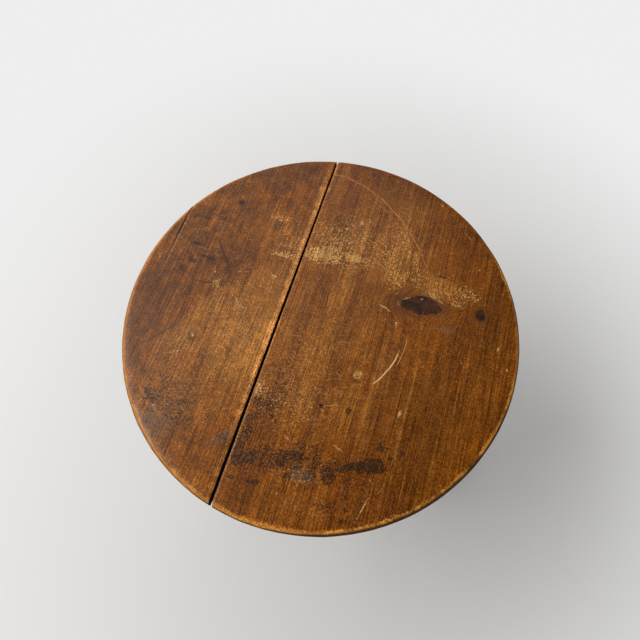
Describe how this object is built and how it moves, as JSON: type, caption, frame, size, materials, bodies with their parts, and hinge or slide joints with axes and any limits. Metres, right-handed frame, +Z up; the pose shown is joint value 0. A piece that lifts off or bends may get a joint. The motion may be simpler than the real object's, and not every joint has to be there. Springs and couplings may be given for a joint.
{
  "type": "cricket table",
  "caption": "Small round table with a two-board top on a joined frame: splayed five-sided legs, pegged frieze rails and low stretchers; stands level on uneven floors",
  "frame": {"origin": "on the floor, below the middle of the round top", "axes": "+Z up; +Y along the grain and the open joint of the top boards, towards the single far leg; +X across the grain, towards the wide board"},
  "size_m": [0.651, 0.66, 0.7],
  "materials": {
    "stained_pine_top": "stained and waxed pine boards, worn through to paler wood, scratched and spotted",
    "stained_pine_frame": "stained and waxed pine",
    "oak_peg": "riven oak, stained with the frame",
    "iron_screw": "dull oxidised iron"
  },
  "bodies": {
    "root": {"frieze_left_peg_lower_in_leg_far": "oak_peg", "frieze_left_peg_lower_in_leg_left": "oak_peg", "frieze_left_peg_upper_in_leg_far": "oak_peg", "frieze_left_peg_upper_in_leg_left": "oak_peg", "frieze_near_peg_lower_in_leg_left": "oak_peg", "frieze_near_peg_lower_in_leg_right": "oak_peg", "frieze_near_peg_upper_in_leg_left": "oak_peg", "frieze_near_peg_upper_in_leg_right": "oak_peg", "frieze_rail_left": "stained_pine_frame", "frieze_rail_near": "stained_pine_frame", "frieze_rail_right": "stained_pine_frame", "frieze_right_peg_lower_in_leg_far": "oak_peg", "frieze_right_peg_lower_in_leg_right": "oak_peg", "frieze_right_peg_upper_in_leg_far": "oak_peg", "frieze_right_peg_upper_in_leg_right": "oak_peg", "leg_far": "stained_pine_frame", "leg_left": "stained_pine_frame", "leg_right": "stained_pine_frame", "stretcher_left": "stained_pine_frame", "stretcher_left_peg_in_leg_far": "oak_peg", "stretcher_left_peg_in_leg_left": "oak_peg", "stretcher_near": "stained_pine_frame", "stretcher_near_peg_in_leg_left": "oak_peg", "stretcher_near_peg_in_leg_right": "oak_peg", "stretcher_right": "stained_pine_frame", "stretcher_right_peg_in_leg_far": "oak_peg", "stretcher_right_peg_in_leg_right": "oak_peg", "top_board_narrow": "stained_pine_top", "top_board_wide": "stained_pine_top", "top_screw_left_rail_by_leg_far": "iron_screw", "top_screw_left_rail_by_leg_left": "iron_screw", "top_screw_near_rail_by_leg_left": "iron_screw", "top_screw_near_rail_by_leg_right": "iron_screw", "top_screw_right_rail_by_leg_far": "iron_screw", "top_screw_right_rail_by_leg_right": "iron_screw"}
  },
  "joints": []
}
